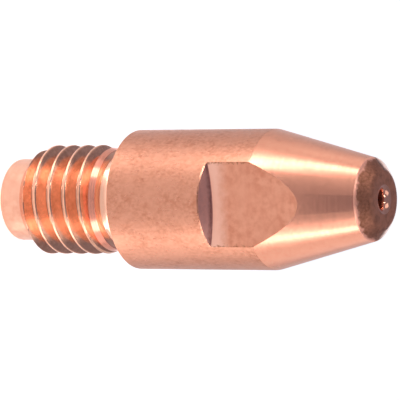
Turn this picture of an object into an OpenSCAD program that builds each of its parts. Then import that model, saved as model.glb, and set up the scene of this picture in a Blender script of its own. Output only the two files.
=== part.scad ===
// Welding contact tip.
// One turned copper piece. From the rear it has a plain spigot, a right-hand
// thread with a lead-in and a run-out, a rounded neck, a shoulder, a round body
// with two wrench flats, a tapered nose, and a hole for the wire along its axis.
// It stands on its rear end: the axis is Z, the rear end is at z = 0, the nose is up.

/* [Overall] */
// Length from the rear end to the nose face
total_len = 30; // [26:0.5:40]
// Diameter of the round body
body_d = 10; // [9:0.25:12]

/* [Spigot] */
// Diameter of the plain spigot behind the thread
spigot_d = 5.9; // [5:0.1:6.2]
// Length of the spigot
spigot_len = 1.84; // [1.2:0.02:3]
// Radius of the round on the rear edge
spigot_edge_r = 0.4; // [0.1:0.05:0.6]

/* [Thread] */
// Diameter over the thread crests
thread_d = 7.9; // [7.6:0.05:8]
// Rise of the thread in one turn
thread_pitch = 1.25; // [1:0.05:1.4]
// Length of the thread, from the spigot to the land
thread_len = 6.26; // [5:0.02:8]
// Height of a crest's middle above the spigot, on the +X side
thread_phase = 0.93; // [0:0.01:1.25]
// Diameter of the land's rear edge, where the thread runs out
land_d = 7.48; // [7.3:0.02:7.6]
// Length of the land
land_len = 0.5; // [0.2:0.05:1]
// Half angle at which the crests fade into the land, in degrees
land_angle = 16.7; // [5:0.1:25]

/* [Neck] */
// Diameter of the neck between the thread and the shoulder
neck_d = 6.6; // [6.2:0.05:6.8]
// Length from the land to the shoulder
neck_len = 1.78; // [1.5:0.02:2.5]
// Radius of the neck's round at the land
neck_rear_r = 0.5; // [0.3:0.05:0.6]
// Radius of the neck's round at the shoulder
neck_front_r = 1.25; // [0.3:0.05:1.3]
// Radius of the round on the shoulder's edge
shoulder_edge_r = 0.1; // [0.05:0.05:0.4]

/* [Wrench flats] */
// Width across the two flats
flat_af = 8; // [7:0.25:8.5]
// Length of the flats, from the nose face to the foot of the end wall
flat_len = 11.6; // [9:0.05:14]
// Lean of the end wall, in degrees
flat_wall_lean = 29; // [0:1:40]
// Radius of the fillet at the foot of each end wall
flat_fillet_r = 0.25; // [0.1:0.05:0.8]

/* [Nose] */
// Half angle of the taper, in degrees
taper_angle = 15; // [12:0.5:20]
// Diameter where the taper ends
nose_d = 5.86; // [5:0.02:6.5]
// Diameter of the flat nose face
nose_face_d = 4; // [3:0.05:4.8]
// Height of the bevel between the taper and the nose face
nose_bevel_h = 0.75; // [0.3:0.05:1.5]

/* [Wire hole] */
// Diameter of the hole, 0.2 over a 1.0 wire
hole_d = 1.2; // [0.8:0.05:1.6]
// Radius of the round at the nose end of the hole
mouth_r = 0.33; // [0.1:0.01:0.5]
// Diameter of the lead-in at the rear end
lead_in_d = 3; // [2:0.1:4]
// Depth of the lead-in
lead_in_len = 1.56; // [0.8:0.02:2.5]

/* [Hidden] */
$fn = 96;

copper = [0.80, 0.50, 0.38];

// radii
body_r = body_d / 2;
spigot_r = spigot_d / 2;
neck_r = neck_d / 2;
nose_r = nose_d / 2;
nose_face_r = nose_face_d / 2;
hole_r = hole_d / 2;
lead_in_r = lead_in_d / 2;
land_r = land_d / 2;
land_end_r = land_r - land_len * tan(land_angle);

// heights, from the rear end up
thread_z0 = spigot_len;
land_z0 = thread_z0 + thread_len;
land_z1 = land_z0 + land_len;
body_z0 = land_z1 + neck_len;
bevel_z0 = total_len - nose_bevel_h;
taper_z0 = bevel_z0 - (body_r - nose_r) / tan(taper_angle);
flat_z0 = total_len - flat_len;

// the neck starts just under the land, so that the sleeve of the thread covers its edge
neck_lip_r = land_end_r - 0.02;
neck_rear_h = max(0, min(neck_rear_r, neck_lip_r - neck_r));
neck_z0 = land_z1 + sqrt(neck_rear_h * (2 * neck_rear_r - neck_rear_h));

// 60 degree thread form
crest_r = thread_d / 2;
crest_half = thread_pitch / 16;
thread_depth = 0.64 * thread_pitch;
run_out_slope = 2.5;
root_r = crest_r - thread_depth;
flank_run = thread_depth * tan(30);
root_half = thread_pitch / 2 - crest_half - flank_run;
root_sag = 0.1 * root_half;
step_r = 0.05;
start_r = spigot_r + step_r;
core_r = min(spigot_r, root_r - 0.15);
bed_r = core_r - 0.5;

// places of the ridge's points along one pitch, from the middle of the crest
ridge_at = [
    -crest_half,
    crest_half,
    crest_half + flank_run / 2,
    crest_half + flank_run,
    thread_pitch / 2,
    thread_pitch / 2 + root_half,
    thread_pitch / 2 + root_half + flank_run / 2
];
ridge_n = len(ridge_at);
turn_n = 40;
pitch_n = ceil((thread_len + land_len) / thread_pitch) + 4;
row_n = pitch_n * ridge_n;
ridge_z0 = thread_z0 + thread_phase - 3 * thread_pitch;

// height of row i of the ridge's points at step j round the axis
function ridge_z(i, j) =
    ridge_z0 + floor(i / ridge_n) * thread_pitch + ridge_at[i % ridge_n]
    + thread_pitch * j / turn_n;

// radius of the bare thread form at a point of the ridge
function form_r(k) =
    k < 2 ? crest_r
    : k == 2 || k == 6 ? crest_r - thread_depth / 2
    : k == 4 ? root_r - root_sag
    : root_r;

// radius after the 45 degree lead-in, the run-out of the groove and the coned land
function cut_r(k, z) =
    let (lead = start_r + z - thread_z0)
    let (run_out = land_r + run_out_slope * (z - land_z0))
    let (land = land_r - tan(land_angle) * (z - land_z0))
    min(lead, land, max(form_r(k), run_out));

// rows that reach past an end of the thread share that end's point
gap_z = thread_pitch / 40;
first_row = [for (j = [0:turn_n - 1])
    len([for (i = [0:row_n - 1]) if (ridge_z(i, j) <= thread_z0 + gap_z) i]) - 1];
last_row = [for (j = [0:turn_n - 1])
    len([for (i = [0:row_n - 1]) if (ridge_z(i, j) < land_z1 - gap_z) i])];

function ridge_point(i, j) =
    let (z = i <= first_row[j] ? thread_z0 : i >= last_row[j] ? land_z1 : ridge_z(i, j))
    let (r = z == thread_z0 ? start_r : z == land_z1 ? land_end_r : cut_r(i % ridge_n, z))
    let (a = 360 * j / turn_n)
    [r * cos(a), r * sin(a), z];

// index of a point, where one full turn leads to the row one pitch up
function ridge_id(i, j) =
    j >= turn_n ? ridge_id(i + ridge_n, j - turn_n)
    : j * row_n + max(first_row[j], min(last_row[j], i));

function bed_id(end, j) = turn_n * row_n + 2 * (j % turn_n) + end;

function whole(t) = [for (f = t) if (f[0] != f[1] && f[1] != f[2] && f[2] != f[0]) f];

// the thread is a sleeve whose ridge climbs one pitch a turn
module thread_sleeve() {
    ridge = [for (j = [0:turn_n - 1], i = [0:row_n - 1]) ridge_point(i, j)];
    bed = [for (j = [0:turn_n - 1], z = [thread_z0, land_z1])
        [bed_r * cos(360 * j / turn_n), bed_r * sin(360 * j / turn_n), z]];
    outside = [for (j = [0:turn_n - 1], i = [0:row_n - 2], h = [0, 1])
        let (a = ridge_id(i, j))
        let (b = ridge_id(i, j + 1))
        let (c = ridge_id(i + 1, j + 1))
        let (d = ridge_id(i + 1, j))
        h == 0 ? [a, c, b] : [a, d, c]];
    inside = [for (j = [0:turn_n - 1], h = [0, 1])
        h == 0 ? [bed_id(0, j), bed_id(0, j + 1), bed_id(1, j + 1)]
        : [bed_id(0, j), bed_id(1, j + 1), bed_id(1, j)]];
    rear = [for (j = [0:turn_n - 1], h = [0, 1])
        let (a = ridge_id(0, j))
        let (b = ridge_id(0, j + 1))
        h == 0 ? [a, b, bed_id(0, j + 1)] : [a, bed_id(0, j + 1), bed_id(0, j)]];
    front = [for (j = [0:turn_n - 1], h = [0, 1])
        let (a = ridge_id(row_n - 1, j))
        let (b = ridge_id(row_n - 1, j + 1))
        h == 0 ? [a, bed_id(1, j + 1), b] : [a, bed_id(1, j), bed_id(1, j + 1)]];
    polyhedron(
        points = concat(ridge, bed),
        faces = whole(concat(outside, inside, rear, front)),
        convexity = 10
    );
}

// half of a disc, above its middle for a side of 1 and below it for -1
module half_disc(r, side) {
    intersection() {
        circle(r);
        translate([-r, side > 0 ? 0 : -r]) square([2 * r, r]);
    }
}

// half section of the turned piece, radius across and height up
module turned_section() {
    e = spigot_edge_r;
    s = shoulder_edge_r;
    f = min(neck_front_r, body_z0 - neck_z0, body_r - neck_r - s);
    difference() {
        union() {
            polygon([
                [0, 0],
                [spigot_r - e, 0],
                [spigot_r, e],
                [spigot_r, thread_z0],
                [core_r, thread_z0 + land_len],
                [core_r, land_z0],
                [neck_lip_r, land_z1 - land_len / 4],
                [neck_lip_r, land_z1],
                [neck_r, neck_z0],
                [neck_r, body_z0 - f],
                [neck_r + f, body_z0],
                [body_r - s, body_z0],
                [body_r, body_z0 + s],
                [body_r, taper_z0],
                [nose_r, bevel_z0],
                [nose_face_r, total_len],
                [0, total_len]
            ]);
            translate([spigot_r - e, e]) circle(e);
            translate([body_r - s, body_z0 + s]) circle(s);
        }
        // the neck is hollowed between the land and the shoulder
        translate([neck_r + neck_rear_r, neck_z0]) half_disc(neck_rear_r, -1);
        translate([neck_r + f, body_z0 - f]) half_disc(f, 1);
        // wire hole with a conical lead-in and a rounded mouth
        difference() {
            polygon([
                [-1, -1],
                [lead_in_r, -1],
                [lead_in_r, 0],
                [hole_r, lead_in_len],
                [hole_r, total_len - mouth_r],
                [hole_r + mouth_r, total_len],
                [hole_r + mouth_r, total_len + 1],
                [-1, total_len + 1]
            ]);
            translate([hole_r + mouth_r, total_len - mouth_r]) circle(mouth_r);
        }
    }
}

// what one wrench flat takes away, with a leaning end wall and a filleted foot
module flat_cut() {
    f = flat_fillet_r;
    foot = [flat_af / 2, flat_z0];
    wall = [cos(flat_wall_lean), -sin(flat_wall_lean)];
    reach = f * tan((90 - flat_wall_lean) / 2);
    translate([-body_d, 0, 0])
        rotate([90, 0, 90])
        linear_extrude(2 * body_d)
        union() {
            polygon([
                foot + [0, reach],
                foot + reach * wall,
                foot + body_d * wall,
                [foot[0] + body_d, total_len + 1],
                [foot[0], total_len + 1]
            ]);
            translate(foot + [f, reach]) circle(f);
        }
}

module contact_tip() {
    color(copper) {
        difference() {
            rotate_extrude() turned_section();
            for (turn = [0, 180]) rotate([0, 0, turn]) flat_cut();
        }
        thread_sleeve();
    }
}

contact_tip();
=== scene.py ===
import math
import bmesh
import bpy
from mathutils import Matrix, Vector


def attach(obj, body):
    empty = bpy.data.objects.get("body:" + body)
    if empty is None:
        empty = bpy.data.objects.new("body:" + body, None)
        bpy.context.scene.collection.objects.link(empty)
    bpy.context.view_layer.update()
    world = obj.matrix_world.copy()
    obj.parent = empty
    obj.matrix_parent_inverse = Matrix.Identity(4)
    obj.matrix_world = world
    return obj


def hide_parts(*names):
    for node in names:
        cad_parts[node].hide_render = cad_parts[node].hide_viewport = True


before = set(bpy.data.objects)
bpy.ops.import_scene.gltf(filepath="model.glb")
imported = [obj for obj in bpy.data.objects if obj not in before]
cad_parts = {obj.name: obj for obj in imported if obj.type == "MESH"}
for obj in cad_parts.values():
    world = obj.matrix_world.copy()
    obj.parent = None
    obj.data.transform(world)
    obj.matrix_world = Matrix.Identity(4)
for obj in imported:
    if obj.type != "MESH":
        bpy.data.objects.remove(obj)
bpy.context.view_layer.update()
mm = 0.001
touch = 1e-7  # points closer than this, in metres, count as one


def newPiece(name, bm):
    mesh = bpy.data.meshes.new(name)
    bm.to_mesh(mesh)
    bm.free()
    piece = bpy.data.objects.new(name, mesh)
    bpy.context.scene.collection.objects.link(piece)
    return piece


def allOf(bm):
    return bm.verts[:] + bm.edges[:] + bm.faces[:]


def vertsOf(geom):
    return [v for v in geom if isinstance(v, bmesh.types.BMVert)]


def drawProfile(bm, points, closed):
    verts = [bm.verts.new((r * mm, 0, z * mm)) for r, z in points]
    ends = verts[1:] + verts[:1] if closed else verts[1:]
    for pair in zip(verts, ends):
        bm.edges.new(pair)
    return verts


def roundCorner(bm, vert, size, segments):
    bmesh.ops.bevel(bm, geom=[vert], offset=size * mm, offset_type="OFFSET", segments=segments,
                    profile=0.5, affect="VERTICES", material=-1, clamp_overlap=True)


def applyBoolean(piece, tool, operation):
    step = piece.modifiers.new(operation.title(), "BOOLEAN")
    step.object = tool
    step.operation = operation
    step.solver = "MANIFOLD"
    view = bpy.context.evaluated_depsgraph_get()
    piece.data = bpy.data.meshes.new_from_object(piece.evaluated_get(view))
    piece.modifiers.clear()
    bpy.data.objects.remove(tool)


# the turned copper blank, radius and height in mm from the rear end
blank = {
    "spigotR": 2.95, "spigotRound": 0.4,
    "neckR": 3.3, "neckZ": 8.7, "neckCone": 0.3, "neckRound": 1.25,
    "bodyR": 5.0, "bodyZ": 10.38, "bodyRound": 0.04,
    "taperZ": 21.53, "taperRound": 0.12,
    "noseR": 2.93, "noseZ": 29.25, "noseRound": 0.15,
    "faceR": 2.0, "faceRound": 0.3,
    "holeR": 0.6, "mouthRound": 0.55,
    "leadR": 1.5, "leadDepth": 1.56,
    "length": 30.0, "steps": 192,
}


def makeBlank():
    b = blank
    bm = bmesh.new()
    verts = drawProfile(bm, [
        (b["leadR"], 0), (b["spigotR"], 0), (b["spigotR"], b["neckZ"] - b["neckCone"]),
        (b["neckR"], b["neckZ"]), (b["neckR"], b["bodyZ"]), (b["bodyR"], b["bodyZ"]),
        (b["bodyR"], b["taperZ"]), (b["noseR"], b["noseZ"]), (b["faceR"], b["length"]),
        (b["holeR"], b["length"]), (b["holeR"], b["leadDepth"]),
    ], closed=True)
    # corner of the profile, its round, and the steps across that round
    for index, name, segments in ((1, "spigotRound", 6), (4, "neckRound", 12), (5, "bodyRound", 5),
                                  (6, "taperRound", 3), (7, "noseRound", 4), (8, "faceRound", 8),
                                  (9, "mouthRound", 8)):
        roundCorner(bm, verts[index], b[name], segments)
    bmesh.ops.spin(bm, geom=allOf(bm), cent=(0, 0, 0), axis=(0, 0, 1),
                   angle=math.tau, steps=b["steps"], use_merge=True)
    bmesh.ops.remove_doubles(bm, verts=bm.verts[:], dist=touch)
    bmesh.ops.recalc_face_normals(bm, faces=bm.faces[:])
    return newPiece("contactTip", bm)


# right-hand thread: a lead-in at the spigot, and crests that fade into a coned land before the neck
thread = {
    "startZ": 1.84, "startR": 3.0, "leadSlope": 1.0,
    "pitch": 1.25, "phaseZ": 2.772, "crestR": 3.95, "crestFlat": 0.2, "depth": 0.8, "flankAngle": 30,
    "crestRound": 0.07, "rootRound": 0.03,
    "landZ": 8.1, "landR": 3.74, "landSlope": 0.28, "fadeSlope": 0.4, "runOutSlope": 2.5,
    "endZ": 8.88, "endR": 3.28, "endRound": 0.1, "endSlope": 1.25,
    "bedR": 2.4,
    "steps": 144, "turns": 9, "turnsBelow": 3, "flankEdge": 0.3, "flankCuts": 11, "seam": 0.002,
}


def sweepRidge(bm):
    t = thread
    half = t["crestFlat"] / 2
    run = t["depth"] * math.tan(math.radians(t["flankAngle"]))
    rootR = t["crestR"] - t["depth"]
    rootHalf = t["pitch"] / 2
    baseZ = t["phaseZ"] - t["turnsBelow"] * t["pitch"]
    verts = drawProfile(bm, [
        (rootR, baseZ - rootHalf), (rootR, baseZ - half - run), (t["crestR"], baseZ - half),
        (t["crestR"], baseZ + half), (rootR, baseZ + half + run), (rootR, baseZ + rootHalf),
    ], closed=False)
    for index, name, segments in ((1, "rootRound", 2), (2, "crestRound", 6),
                                  (3, "crestRound", 6), (4, "rootRound", 2)):
        roundCorner(bm, verts[index], t[name], segments)
    longEdges = [e for e in bm.edges if e.calc_length() > t["flankEdge"] * mm]
    bmesh.ops.subdivide_edges(bm, edges=longEdges, cuts=t["flankCuts"])
    bmesh.ops.spin(bm, geom=allOf(bm), cent=(0, 0, 0), axis=(0, 0, 1),
                   dvec=(0, 0, t["pitch"] * mm / t["steps"]), angle=math.tau, steps=t["steps"])
    oneTurn = allOf(bm)
    for turn in range(1, t["turns"]):
        copied = bmesh.ops.duplicate(bm, geom=oneTurn)["geom"]
        bmesh.ops.translate(bm, vec=(0, 0, turn * t["pitch"] * mm), verts=vertsOf(copied))
    bmesh.ops.remove_doubles(bm, verts=bm.verts[:], dist=t["seam"] * mm)


def sliceAt(bm, z, side=1, trim=False):
    bmesh.ops.bisect_plane(bm, geom=allOf(bm), dist=touch, plane_co=(0, 0, z * mm),
                           plane_no=(0, 0, side), clear_outer=trim)


def shapeEnds(bm):
    t = thread
    sliceAt(bm, t["startZ"], -1, trim=True)
    sliceAt(bm, t["endZ"], 1, trim=True)
    # edges are laid where the land starts, at its lip, and where the slope rounds into the neck
    steep = t["endSlope"] / math.hypot(1, t["endSlope"])
    arcZ = t["endZ"] - steep * t["endRound"]
    arcR = t["endR"] + t["endRound"] * (1 - math.sqrt(1 - steep ** 2))
    slopeFoot = arcR + t["endSlope"] * arcZ
    landFoot = t["landR"] + t["landSlope"] * t["landZ"]
    lipZ = (slopeFoot - landFoot) / (t["endSlope"] - t["landSlope"])
    for z in (t["landZ"], lipZ, arcZ):
        sliceAt(bm, z)
    # lead-in cone, run-out of the groove, coned land and the slope down to the neck
    for vert in bm.verts:
        z = vert.co.z / mm
        r = math.hypot(vert.co.x, vert.co.y) / mm
        leadIn = t["startR"] + t["leadSlope"] * (z - t["startZ"])
        runOut = t["landR"] + t["runOutSlope"] * (z - t["landZ"])
        land = t["landR"] - t["landSlope" if z > t["landZ"] else "fadeSlope"] * (z - t["landZ"])
        drop = min(t["endZ"] - z, t["endZ"] - arcZ)
        neck = t["endR"] + t["endRound"] - math.sqrt(t["endRound"] ** 2 - drop ** 2)
        neck += t["endSlope"] * (t["endZ"] - z - drop)
        wanted = min(max(r, runOut), leadIn, land, neck)
        vert.co.x *= wanted / r
        vert.co.y *= wanted / r


def closeEnds(bm):
    # both ends close down onto a bed inside the blank
    t = thread
    rims = []
    for z in (t["startZ"], t["endZ"]):
        rim = []
        for edge in bm.edges:
            middleZ = sum(v.co.z for v in edge.verts) / 2
            if edge.is_boundary and abs(middleZ - z * mm) < touch:
                rim.append(edge)
        made = bmesh.ops.extrude_edge_only(bm, edges=rim)["geom"]
        for vert in vertsOf(made):
            vert.co.x, vert.co.y = vert.co.xy.normalized() * t["bedR"] * mm
        rims += [e for e in made if isinstance(e, bmesh.types.BMEdge)]
    bmesh.ops.bridge_loops(bm, edges=rims)


def makeThread():
    bm = bmesh.new()
    sweepRidge(bm)
    shapeEnds(bm)
    closeEnds(bm)
    bmesh.ops.recalc_face_normals(bm, faces=bm.faces[:])
    return newPiece("threadSleeve", bm)


# two milled flats for a spanner, each with a leaning end wall that bows towards the nose
flats = {
    "across": 8.0, "footZ": 18.4, "wallLean": 0.56, "bowR": 16.0, "fillet": 0.1, "edgeBreak": 0.06,
    "cutterSize": 14.0, "cutterHeight": 20.0, "filletSteps": 4, "bowCuts": 55,
    "rimAngle": 30, "rimSlack": 0.01, "rimStart": 1.0,
}


def makeFlatCutter(side):
    f = flats
    size = f["cutterSize"]
    topZ = f["footZ"] + f["cutterHeight"]
    bm = bmesh.new()
    # drawn as depth from the flat against height, then stood at the flat and pulled out to a block
    verts = drawProfile(bm, [
        (0, topZ), (0, f["footZ"]), (size, f["footZ"] - f["wallLean"] * size), (size, topZ),
    ], closed=True)
    roundCorner(bm, verts[1], f["fillet"], f["filletSteps"])
    bmesh.ops.contextual_create(bm, geom=bm.edges[:])
    turn = Matrix.Rotation(side * math.pi / 2, 3, "Z")
    bmesh.ops.rotate(bm, cent=(0, 0, 0), matrix=turn, verts=bm.verts[:])
    bmesh.ops.translate(bm, vec=(-size / 2 * mm, side * f["across"] / 2 * mm, 0), verts=bm.verts[:])
    made = bmesh.ops.extrude_face_region(bm, geom=bm.faces[:])["geom"]
    bmesh.ops.translate(bm, vec=(size * mm, 0, 0), verts=vertsOf(made))
    across = [e for e in bm.edges if abs(e.verts[0].co.x - e.verts[1].co.x) > size / 2 * mm]
    bmesh.ops.subdivide_edges(bm, edges=across, cuts=f["bowCuts"])
    for vert in bm.verts:
        vert.co.z -= vert.co.x ** 2 / (2 * f["bowR"] * mm)
    bmesh.ops.recalc_face_normals(bm, faces=bm.faces[:])
    return newPiece("flatCutter", bm)


def breakWallEdges(piece):
    # the cutter's burr is taken off where the end walls run out of the round body
    b, f = blank, flats
    bm = bmesh.new()
    bm.from_mesh(piece.data)
    rim = []
    for edge in bm.edges:
        middle = (edge.verts[0].co + edge.verts[1].co) / 2 / mm
        onWall = b["bodyZ"] + f["rimStart"] < middle.z < f["footZ"] - f["fillet"]
        onBody = abs(middle.xy.length - b["bodyR"]) < f["rimSlack"]
        if onWall and onBody and edge.calc_face_angle() > math.radians(f["rimAngle"]):
            rim.append(edge)
    bmesh.ops.bevel(bm, geom=rim, offset=f["edgeBreak"] * mm, offset_type="OFFSET", segments=1,
                    profile=0.5, affect="EDGES", material=-1, clamp_overlap=False)
    bmesh.ops.recalc_face_normals(bm, faces=bm.faces[:])
    bm.to_mesh(piece.data)
    bm.free()
    print("wall edges broken", len(rim))


tip = makeBlank()
print("blank spun", len(tip.data.polygons))
for side in (-1, 1):
    applyBoolean(tip, makeFlatCutter(side), "DIFFERENCE")
print("flats milled", len(tip.data.polygons))
breakWallEdges(tip)
applyBoolean(tip, makeThread(), "UNION")
print("thread cut", len(tip.data.polygons))

# finish of each zone: tint, stain mixed into it, gloss, and a grain that the tool or the drawing die left
finishes = {
    "spigot": {
        "color": (0.81, 0.45, 0.315), "stain": (0.70, 0.31, 0.21),
        "stainSize": 0.45, "stainAmount": 0.7, "streak": (1, 1, 1),
        "rough": 0.34, "roughVary": 0.06,
        "grain": 0.12, "stretch": (20, 20, 1), "depth": 0.0012,
    },
    "thread": {
        "color": (0.90, 0.465, 0.31), "stain": (0.60, 0.25, 0.145),
        "stainSize": 0.3, "stainAmount": 0.65, "streak": (1, 1, 1),
        "rough": 0.21, "roughVary": 0.05,
        "grain": 0.10, "stretch": (8, 8, 1), "depth": 0.0008,
    },
    "land": {
        "color": (0.96, 0.37, 0.25), "stain": (0.70, 0.25, 0.165),
        "stainSize": 0.09, "stainAmount": 0.7, "streak": (30, 30, 1),
        "rough": 0.17, "roughVary": 0.05,
        "grain": 0.10, "stretch": (40, 40, 1), "depth": 0.0015,
    },
    "neck": {
        "color": (0.94, 0.52, 0.36), "stain": (0.80, 0.37, 0.25),
        "stainSize": 0.12, "stainAmount": 0.5, "streak": (20, 20, 1),
        "rough": 0.18, "roughVary": 0.05,
        "grain": 0.12, "stretch": (30, 30, 1), "depth": 0.001,
    },
    "body": {
        "color": (0.825, 0.366, 0.236), "stain": (0.60, 0.212, 0.115),
        "stainSize": 0.22, "stainAmount": 0.75, "streak": (1, 1, 1.3),
        "rough": 0.34, "roughVary": 0.07,
        "grain": 0.14, "stretch": (1, 1, 4), "depth": 0.001,
    },
    # paler beside the wall's foot, dark burrs along the long edges
    "flat": {
        "color": (0.87, 0.377, 0.241), "stain": (0.69, 0.24, 0.138),
        "stainSize": 0.42, "stainAmount": 0.8, "streak": (1, 1, 1),
        "rough": 0.36, "roughVary": 0.07,
        "grain": 0.14, "stretch": (10, 1, 1), "depth": 0.0016,
        "bands": (
            {"axis": "Z", "tint": (1.0, 0.54, 0.40), "from": 19.75, "to": 18.8, "waver": 0.15, "size": 0.5},
            {"axis": "X", "tint": (0.46, 0.17, 0.085), "from": 2.86, "to": 3.1, "waver": 0.16, "size": 0.2},
        ),
    },
    # painted shade: darker down in the foot, where the wall meets the flat
    "wall": {
        "color": (0.97, 0.49, 0.39), "stain": (0.78, 0.38, 0.31),
        "stainSize": 0.3, "stainAmount": 0.6, "streak": (1, 1, 1),
        "rough": 0.34, "roughVary": 0.06,
        "grain": 0.12, "stretch": (10, 1, 1), "depth": 0.0015,
        "bands": (
            {"axis": "Y", "tint": (0.46, 0.18, 0.145), "from": 4.3, "to": 4.0, "waver": 0.06, "size": 0.3},
        ),
    },
    "taper": {
        "color": (0.94, 0.40, 0.255), "stain": (0.74, 0.30, 0.185),
        "stainSize": 0.2, "stainAmount": 0.5, "streak": (1.6, 1.6, 1),
        "rough": 0.225, "roughVary": 0.02,
        "grain": 0.12, "stretch": (30, 30, 1), "depth": 0.0002,
    },
    # brown with heat, bare copper at the taper's edge, lighter on the face
    "nose": {
        "color": (0.52, 0.21, 0.128), "stain": (0.27, 0.105, 0.055),
        "stainSize": 0.2, "stainAmount": 0.85, "streak": (1, 1, 1),
        "rough": 0.46, "roughVary": 0.08,
        "grain": 0.14, "stretch": (1, 1, 1), "depth": 0.003,
        "bands": (
            {"axis": "Z", "tint": (0.95, 0.44, 0.31), "from": 29.36, "to": 29.26, "waver": 0.1, "size": 0.5},
            {"axis": "Z", "tint": (0.72, 0.30, 0.18), "from": 29.8, "to": 30.05, "waver": 0.1, "size": 0.5},
        ),
    },
    # painted sheen: the bevel's far side is tinted pale copper as a painted reflection, and browns towards
    # the near side
    "bevelBackPaintedSheen": {
        "color": (0.98, 0.60, 0.47), "stain": (0.80, 0.42, 0.31),
        "stainSize": 0.2, "stainAmount": 0.5, "streak": (1, 1, 1),
        "rough": 0.2, "roughVary": 0.05,
        "grain": 0.14, "stretch": (1, 1, 1), "depth": 0.001,
        "bands": (
            {"axis": "+Y", "tint": (0.36, 0.145, 0.085), "from": 0.75, "to": 0.3, "waver": 0.25, "size": 0.3},
        ),
    },
    "mouth": {
        "color": (0.95, 0.47, 0.33), "stain": (0.66, 0.28, 0.17),
        "stainSize": 0.3, "stainAmount": 0.5, "streak": (1, 1, 1),
        "rough": 0.15, "roughVary": 0.05,
        "grain": 0.10, "stretch": (1, 1, 1), "depth": 0.0006,
    },
    "bore": {
        "color": (0.74, 0.29, 0.18), "stain": (0.55, 0.20, 0.12),
        "stainSize": 0.3, "stainAmount": 0.4, "streak": (1, 1, 1),
        "rough": 0.45, "roughVary": 0.06,
        "grain": 0.10, "stretch": (1, 1, 6), "depth": 0.001,
    },
}

# where the zones meet: mm from the sizes above, a share of the mouth's round, and a facing
borders = {
    "bore": 0.02, "leadIn": 0.01, "mouthShare": 0.9,
    "backY": 0.2, "backTop": 0.08,
    "flatFacing": 0.9999, "shoulder": 0.2, "wall": 0.06,
    "threadTop": 0.1, "landTop": 0.5,
    "sharpAngle": 28,  # edges that bend more than this many degrees are drawn sharp
}


def zoneOf(face):
    b, t, near = blank, thread, borders
    center = face.calc_center_median() / mm
    r = center.xy.length
    inLead = center.z < b["leadDepth"] and r < b["leadR"] - near["leadIn"]
    if r < b["holeR"] + near["bore"] or inLead:
        return "bore"
    if r < b["holeR"] + near["mouthShare"] * b["mouthRound"]:
        return "mouth"
    if center.z > b["noseZ"] - b["noseRound"]:
        # the bevel's back, away from the camera, takes a pale tint that is a painted sheen
        onBack = center.y > near["backY"] and center.z < b["length"] - near["backTop"]
        return "bevelBackPaintedSheen" if onBack else "nose"
    if abs(face.normal.y) > near["flatFacing"]:
        return "flat"
    if center.z > b["taperZ"]:
        return "taper"
    if center.z > b["bodyZ"] + near["shoulder"]:
        return "body" if r > b["bodyR"] - near["wall"] else "wall"
    for name, top in (("spigot", t["startZ"]), ("thread", t["landZ"] - near["threadTop"]),
                      ("land", t["landZ"] + near["landTop"])):
        if center.z < top:
            return name
    return "neck" if r < b["bodyR"] - b["bodyRound"] else "body"


def setZones(piece):
    names = list(finishes)
    bm = bmesh.new()
    bm.from_mesh(piece.data)
    for face in bm.faces:
        face.smooth = True
        face.material_index = names.index(zoneOf(face))
    for edge in bm.edges:
        zones = {names[face.material_index] for face in edge.link_faces}
        milled = len(zones) > 1 and zones & {"flat", "wall"}
        edge.smooth = edge.calc_face_angle() < math.radians(borders["sharpAngle"]) and not milled
    bm.to_mesh(piece.data)
    print("open edges", sum(not e.is_manifold for e in bm.edges))
    bm.free()


def addNoise(tree, size, stretch, detail):
    coord = tree.nodes.new("ShaderNodeTexCoord")
    mapping = tree.nodes.new("ShaderNodeMapping")
    mapping.inputs["Scale"].default_value = [1 / (size * mm * s) for s in stretch]
    noise = tree.nodes.new("ShaderNodeTexNoise")
    noise.inputs["Scale"].default_value = 1.0
    noise.inputs["Detail"].default_value = detail
    tree.links.new(coord.outputs["Object"], mapping.inputs["Vector"])
    tree.links.new(mapping.outputs["Vector"], noise.inputs["Vector"])
    return noise.outputs["Fac"]


def remap(tree, value, low, high, fromLow=0.35, fromHigh=0.65):  # noise mostly lies between these two
    node = tree.nodes.new("ShaderNodeMapRange")
    for name, number in (("From Min", fromLow), ("From Max", fromHigh), ("To Min", low), ("To Max", high)):
        node.inputs[name].default_value = number
    tree.links.new(value, node.inputs["Value"])
    return node.outputs["Result"]


def addMath(tree, operation, *values):
    node = tree.nodes.new("ShaderNodeMath")
    node.operation = operation
    for index, value in enumerate(values):
        if isinstance(value, float):
            node.inputs[index].default_value = value
        else:
            tree.links.new(value, node.inputs[index])
    return node.outputs[0]


def addMix(tree, factor, low, high):
    mix = tree.nodes.new("ShaderNodeMix")
    mix.data_type = "RGBA"
    tree.links.new(factor, mix.inputs["Factor"])
    for socket, tint in (("A", low), ("B", high)):
        if isinstance(tint, tuple):
            mix.inputs[socket].default_value = (*tint, 1)
        else:
            tree.links.new(tint, mix.inputs[socket])
    return mix.outputs["Result"]


def addDistance(tree, axis):
    # a plain axis counts both sides alike, and one with a plus sign keeps them apart
    coord = tree.nodes.new("ShaderNodeTexCoord")
    split = tree.nodes.new("ShaderNodeSeparateXYZ")
    tree.links.new(coord.outputs["Object"], split.inputs["Vector"])
    if axis.startswith("+"):
        return split.outputs[axis[1:]]
    return addMath(tree, "ABSOLUTE", split.outputs[axis])


# how fine the noise is, alike in every zone, and how many stains wide a patch of them is
mottle = {"stainDetail": 6.0, "patchSize": 6, "patchDetail": 2.0, "patchLow": 0.3, "grainDetail": 3.0,
          "waverDetail": 3.0}


def addBand(tree, tint, band):
    # a second tint comes in along one axis, and its edge wavers
    swing = band["waver"] * mm
    waver = remap(tree, addNoise(tree, band["size"], (1, 1, 1), mottle["waverDetail"]), -swing, swing)
    place = addMath(tree, "ADD", addDistance(tree, band["axis"]), waver)
    amount = remap(tree, place, 0.0, 1.0, band["from"] * mm, band["to"] * mm)
    return addMix(tree, amount, tint, band["tint"])


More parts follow.
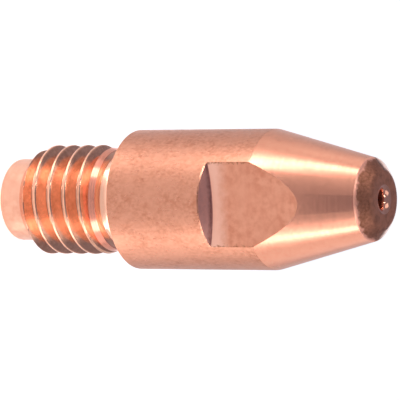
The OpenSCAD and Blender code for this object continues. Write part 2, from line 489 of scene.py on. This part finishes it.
def makeFinish(name, f):
    mat = bpy.data.materials.new(name + "Copper")
    mat.use_nodes = True
    tree = mat.node_tree
    shader = tree.nodes["Principled BSDF"]
    shader.inputs["Metallic"].default_value = 1.0
    # stains come and go in patches
    stains = addNoise(tree, f["stainSize"], f["streak"], mottle["stainDetail"])
    patches = addNoise(tree, mottle["patchSize"] * f["stainSize"], (1, 1, 1), mottle["patchDetail"])
    amount = addMath(tree, "MULTIPLY", remap(tree, stains, 0.0, f["stainAmount"]),
                     remap(tree, patches, mottle["patchLow"], 1.0))
    tint = addMix(tree, amount, f["color"], f["stain"])
    for band in f.get("bands", ()):
        tint = addBand(tree, tint, band)
    tree.links.new(tint, shader.inputs["Base Color"])
    grain = addNoise(tree, f["grain"], f["stretch"], mottle["grainDetail"])
    rough = remap(tree, grain, f["rough"] - f["roughVary"], f["rough"] + f["roughVary"])
    tree.links.new(rough, shader.inputs["Roughness"])
    bump = tree.nodes.new("ShaderNodeBump")
    bump.inputs["Distance"].default_value = f["depth"] * mm
    tree.links.new(grain, bump.inputs["Height"])
    tree.links.new(bump.outputs["Normal"], shader.inputs["Normal"])
    return mat


tip.data.name = "contactTip"
tip.data.materials.clear()
for name, finish in finishes.items():
    tip.data.materials.append(makeFinish(name, finish))
setZones(tip)
weighted = tip.modifiers.new("Weighted Normal", "WEIGHTED_NORMAL")
weighted.keep_sharp = True
print("finished", len(finishes), "zones")
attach(tip, "root")
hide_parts("contact_tip")

# photograph's camera: it looks down at 30 degrees and is turned so that the nose points right
camera = {"azimuth": -5.25, "elevation": 30.0, "distance": 300.0, "aim": (0.043, 0.0, 15.18),
          "lens": 378.8, "sensor": 36.0, "clipStart": 10.0}


def aimCamera():
    c = camera
    az, el = math.radians(c["azimuth"]), math.radians(c["elevation"])
    back = Vector((math.sin(az) * math.cos(el), -math.cos(az) * math.cos(el), math.sin(el)))
    right = (Vector((0, 0, 1)) - back * back.z).normalized()
    up = back.cross(right)
    data = bpy.data.cameras.new("camera")
    data.lens = c["lens"]
    data.sensor_width = c["sensor"]
    data.clip_start = c["clipStart"] * mm
    shot = bpy.data.objects.new("camera", data)
    place = Matrix((right, up, back)).transposed().to_4x4()
    place.translation = Vector(c["aim"]) * mm + back * c["distance"] * mm
    shot.matrix_world = place
    bpy.context.scene.collection.objects.link(shot)
    bpy.context.scene.camera = shot


aimCamera()
print("camera aimed")

# the floor, the room's light, the lamps, and paper cards on the floor that only the metal shows
studio = {
    "floorSize": 3.0,  # in metres, and every other length here is in mm
    "floorDrop": 0.02, "floorColor": 0.8, "floorLift": 0.74,
    "paperRough": 0.9, "cardZ": 0.1,
    "roomLow": (0.27, 0.275, 0.345), "roomHigh": (0.225, 0.235, 0.30), "roomTurn": (0.25, 0.75),
    "lamps": (
        # narrow, to the left and right
        {"name": "lampLeft", "at": (-65.8, -22.1, 20), "aimZ": 20, "size": (7, 40), "power": 0.0044},
        {"name": "lampRight", "at": (62.8, -29.7, 20), "aimZ": 20, "size": (7, 40), "power": 0.0042},
        # low, beside the thread
        {"name": "lampLowLeft", "at": (-40.2, -20.3, 3.5), "aimZ": 3.5, "size": (36, 14), "power": 0.004},
        {"name": "lampLowRight", "at": (35.8, -27.2, 3.5), "aimZ": 3.5, "size": (36, 14), "power": 0.004},
        # in front and above, aimed at the foot of the end walls
        {"name": "lampEdge", "at": (45.1, -50.7, 48), "aimZ": 18, "size": (45, 14), "power": 0.0085},
        {"name": "lampCorner", "at": (-52.4, -55.2, 54.3), "aimZ": 18, "size": (10, 10), "power": 0.009},
        # large and soft, behind
        {"name": "lampBackLeft", "at": (-82, 58, 25), "aimZ": 25, "size": (80, 60), "power": 0.0029},
        {"name": "lampBackRight", "at": (91, 42, 25), "aimZ": 25, "size": (80, 60), "power": 0.0014},
        # above the nose
        {"name": "lampTopLeft", "at": (-40.9, 2.3, 74), "aimZ": 30, "size": (40, 40), "power": 0.005},
        {"name": "lampTopRight", "at": (40.7, -5.2, 74), "aimZ": 30, "size": (40, 40), "power": 0.004},
    ),
    "cards": (
        {"name": "cardFront", "x": (-34, 32), "y": (-70, -13), "color": 0.6, "lift": 0.45},
        {"name": "cardBackLeft", "x": (-120, -12), "y": (4, 120), "color": 0.6, "lift": 0.4},
        {"name": "cardBackRight", "x": (12, 70), "y": (4, 70), "color": 0.6, "lift": 0.4},
        {"name": "cardSideLeft", "x": (-40, -17), "y": (-13, 4), "color": 0.6, "lift": 0.58},
        {"name": "cardSideRight", "x": (17, 40), "y": (-13, 4), "color": 0.6, "lift": 0.72},
        {"name": "stripLeft", "x": (-18.5, -6.5), "y": (-8.5, -2), "color": 0.8, "lift": 2.8},
        {"name": "stripRight", "x": (6.5, 18.5), "y": (-11, -3.5), "color": 0.8, "lift": 2.8},
        {"name": "stripRearLeft", "x": (-6, -2.6), "y": (-3.4, -1.5), "color": 0.8, "lift": 0.95},
        {"name": "stripRearRight", "x": (2.6, 6), "y": (-3.9, -2.0), "color": 0.8, "lift": 1.35},
    ),
}


def makePaper(name, color, lift):
    mat = bpy.data.materials.new(name)
    mat.use_nodes = True
    tree = mat.node_tree
    shader = tree.nodes["Principled BSDF"]
    shader.inputs["Base Color"].default_value = (color, color, color, 1)
    shader.inputs["Roughness"].default_value = studio["paperRough"]
    shader.inputs["Specular IOR Level"].default_value = 0.0
    shader.inputs["Emission Color"].default_value = (1, 1, 1, 1)
    # the lift is seen by the camera and in the metal, and casts no light
    path = tree.nodes.new("ShaderNodeLightPath")
    seen = path.outputs["Is Camera Ray"]
    for ray in ("Is Glossy Ray", "Is Transmission Ray"):
        seen = addMath(tree, "MAXIMUM", seen, path.outputs[ray])
    tree.links.new(addMath(tree, "MULTIPLY", seen, lift), shader.inputs["Emission Strength"])
    return mat


def makeFloor():
    bm = bmesh.new()
    bmesh.ops.create_grid(bm, x_segments=1, y_segments=1, size=studio["floorSize"] / 2)
    # just under the rear end, so that no two faces lie in one plane
    bmesh.ops.translate(bm, vec=(0, 0, -studio["floorDrop"] * mm), verts=bm.verts[:])
    floor = newPiece("floor", bm)
    floor.data.materials.append(makePaper("paleFloor", studio["floorColor"], studio["floorLift"]))


def makeCards():
    for card in studio["cards"]:
        (x0, x1), (y0, y1) = card["x"], card["y"]
        middle = Vector(((x0 + x1) / 2, (y0 + y1) / 2, studio["cardZ"])) * mm
        bm = bmesh.new()
        bmesh.ops.create_grid(bm, x_segments=1, y_segments=1, size=0.5)
        bmesh.ops.scale(bm, vec=((x1 - x0) * mm, (y1 - y0) * mm, 1), verts=bm.verts[:])
        bmesh.ops.translate(bm, vec=middle, verts=bm.verts[:])
        paper = newPiece(card["name"], bm)
        paper.data.materials.append(makePaper(card["name"], card["color"], card["lift"]))
        paper.visible_camera = False
        paper.visible_diffuse = False
        paper.visible_shadow = False


def makeRoom():
    world = bpy.data.worlds.new("room")
    bpy.context.scene.world = world
    world.use_nodes = True
    tree = world.node_tree
    # the room is dimmer towards its ceiling
    coord = tree.nodes.new("ShaderNodeTexCoord")
    split = tree.nodes.new("ShaderNodeSeparateXYZ")
    tree.links.new(coord.outputs["Generated"], split.inputs["Vector"])
    rise = remap(tree, split.outputs["Z"], 0.0, 1.0, *studio["roomTurn"])
    tint = addMix(tree, rise, studio["roomLow"], studio["roomHigh"])
    tree.links.new(tint, tree.nodes["Background"].inputs["Color"])


def makeLamps():
    for lamp in studio["lamps"]:
        data = bpy.data.lights.new(lamp["name"], "AREA")
        data.shape = "RECTANGLE"
        data.size, data.size_y = (v * mm for v in lamp["size"])
        data.energy = lamp["power"]
        light = bpy.data.objects.new(lamp["name"], data)
        at = Vector(lamp["at"]) * mm
        aim = Vector((0, 0, lamp["aimZ"] * mm)) - at
        light.location = at
        # tipped over from straight down by the shortest way
        light.rotation_euler = Vector((0, 0, -1)).rotation_difference(aim).to_euler()
        bpy.context.scene.collection.objects.link(light)


makeFloor()
makeCards()
makeRoom()
makeLamps()
bpy.context.scene.view_settings.view_transform = "Standard"
print("studio lit", len(studio["lamps"]), "lamps")

print("scene ready")
